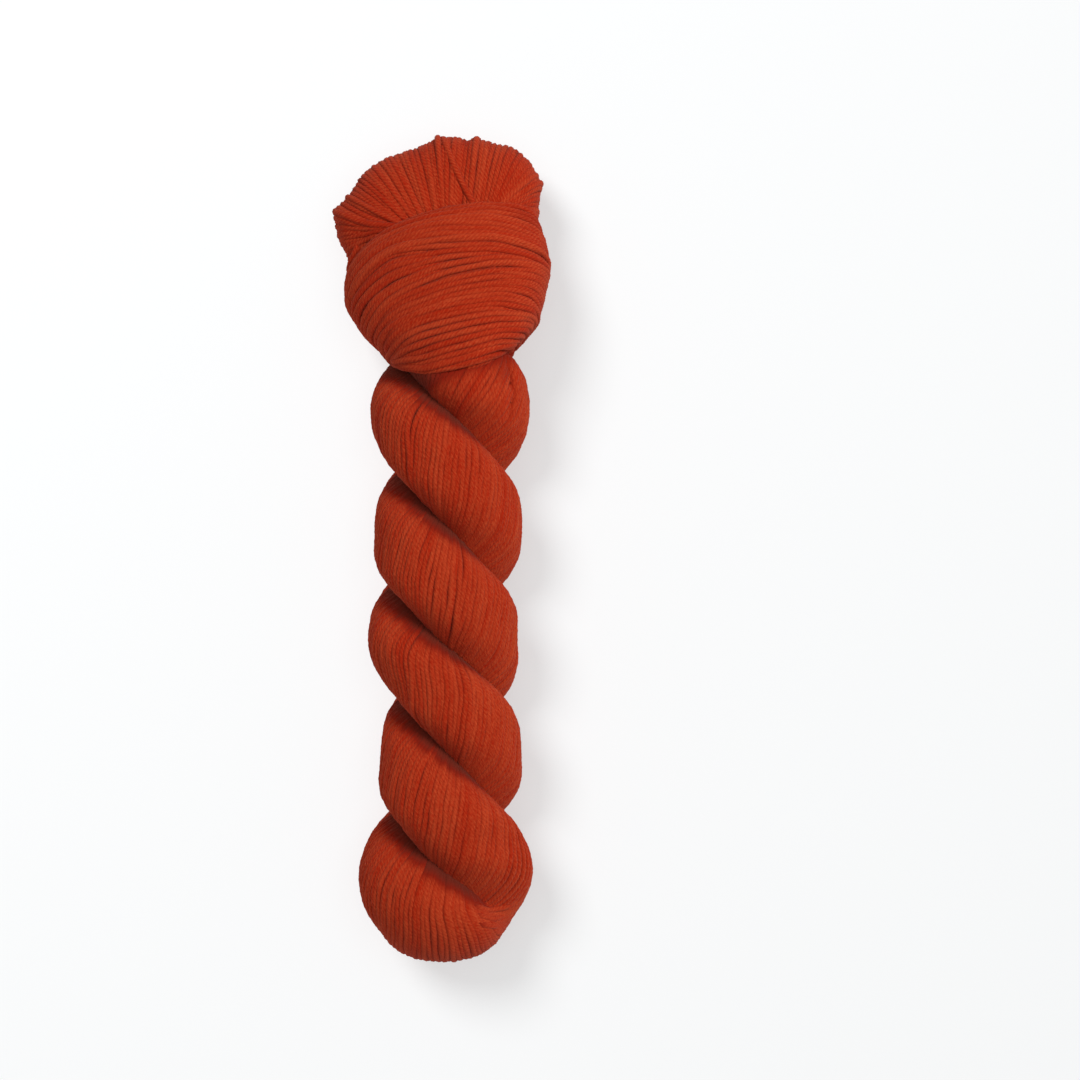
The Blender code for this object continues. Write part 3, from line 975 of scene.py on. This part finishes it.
def fan_line(flow, root_depth, rim_depth):
    """A yarn from under the collar, over the crown and round the rim, back under the hank."""
    root_x, root_y, tip_x, tip_y, sunk, bend = flow
    root = np.array((root_x, root_y))
    toward = np.array((tip_x, tip_y)) - root
    length = np.linalg.norm(toward)
    toward /= length
    start = root - toward * FAN_TUCK
    length += FAN_TUCK - FAN_YARN_RADIUS - rim_depth
    climb = np.linspace(math.radians(84), -math.radians(84), 90)
    out = np.cos(climb) ** (2 / FAN_ROUNDNESS)
    aside = bend * np.sin(math.pi * np.clip((out * length - FAN_TUCK) / (length - FAN_TUCK), 0, 1))
    depth = root_depth + sunk + (rim_depth - root_depth - sunk) * out**2
    x = start[0] + toward[0] * out * length - toward[1] * aside
    y = start[1] + toward[1] * out * length + toward[0] * aside
    height = np.where(climb > 0, FAN_CROWN, FAN_BELLY) - depth - FAN_YARN_RADIUS
    z = FAN_HEIGHT + height * np.sin(climb)
    z -= np.where(climb > 0, hollow_at(x, y) * np.sin(climb), 0.0)
    return smoothed(evenly(np.stack((x, y, z), -1), 1.0), 5)


def flow_between(place):
    """The flow of a fan yarn at this place among the leading ones, from 0 to their number less one."""
    flow = np.array(FAN_FLOW)
    return [np.interp(place, np.arange(len(flow)), flow[:, c]) for c in range(flow.shape[1])]


def rim_depth(least):
    """How far inside the rim a yarn turns back: nearly the same for most, with a few that stand out."""
    return RIM_DEPTH - (RIM_DEPTH - least) * chance.uniform() ** 3


def top_fan_yarns():
    """One yarn on each leading line, and slightly lower ones where the rim has room for them."""
    flow = np.array(FAN_FLOW)
    gaps = np.hypot(np.diff(flow[:, 2]), np.diff(flow[:, 3]))
    lines = [fan_line(row, chance.uniform(0.0, 0.3), rim_depth(-0.6)) for row in FAN_FLOW]
    lines.append(fan_line(FAN_CROSSING, 0.0, 0.0))
    for i, gap in enumerate(gaps):
        count = max(math.ceil(gap / FAN_YARN_PITCH - 1.15), 0)
        for k in range(count):
            place = i + (k + 1 + chance.uniform(-0.15, 0.15)) / (count + 1)
            low = chance.uniform(-0.15, 0.15) + 1.4 - 1.2 * float(eased(place / len(gaps) * 1.8))
            root_x, root_y = chance.uniform(-0.5, 0.5, 2)
            bend = chance.uniform(-0.6, 0.6)
            row = np.array(flow_between(place)) + (root_x, root_y, 0, 0, 0, bend)
            lines.append(fan_line(row, low, rim_depth(0.0)))
    return lines


def under_fan_yarns():
    """Yarns under the top ones, which fill the notches between them at the rim."""
    count = 2 * len(FAN_FLOW)
    places = (np.arange(count) + 0.5) / count * (len(FAN_FLOW) - 1)
    return [fan_line(flow_between(place), UNDER_FAN_DEPTH, chance.uniform(0.1, 0.4)) for place in places]


wind("fan_yarns", top_fan_yarns(), FAN_YARN_RADIUS, brick_wool)
wind("fan_under_yarns", under_fan_yarns(), FAN_YARN_RADIUS, brick_wool, under=True)

# ---------------------------------------------------------------- the inner turns
# Under the yarns that show lie the rest of the turns, pressed together in the dark. They
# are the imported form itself, drawn in by nearly a yarn's thickness, and by more at the fan.
INNER_DEPTH = 1.9 * MM
FAN_INNER_DEPTH = 2.5 * MM
FAN_START_Y = 98.0
FAN_START_WIDTH = 10.0
INNER_CLEARANCE = 0.4 * MM


def inner_turns():
    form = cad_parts["hank"]
    mesh = form.data.copy()
    mesh.name = "inner_turns"
    mesh.materials.clear()
    count = len(mesh.vertices)
    places, ways = np.empty(count * 3), np.empty(count * 3)
    mesh.vertices.foreach_get("co", places)
    mesh.vertex_normals.foreach_get("vector", ways)
    in_fan = np.repeat(eased((places[1::3] / MM - FAN_START_Y) / FAN_START_WIDTH), 3)
    places = places - ways * (INNER_DEPTH + (FAN_INNER_DEPTH - INNER_DEPTH) * in_fan)
    upper = places[2::3] > FAN_HEIGHT * MM
    places[2::3] -= np.where(upper, hollow_at(places[0::3] / MM, places[1::3] / MM) * MM, 0.0)
    places[2::3] = np.maximum(places[2::3], INNER_CLEARANCE)
    mesh.vertices.foreach_set("co", places)
    mesh.update()
    piece = bpy.data.objects.new("inner_turns", mesh)
    bpy.context.scene.collection.objects.link(piece)
    return piece


# The inner turns' wool is painted dark as shade, since they lie in the dark under the yarns that show.
SHADED_LIGHT = (0.16, 0.014, 0.006, 1.0)
SHADED_DARK = (0.09, 0.008, 0.004, 1.0)
inner = inner_turns()
inner.data.materials.append(dyed_wool("shaded_wool", SHADED_LIGHT, SHADED_DARK, SHADED_DARK))
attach(inner, "root")
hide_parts("hank")
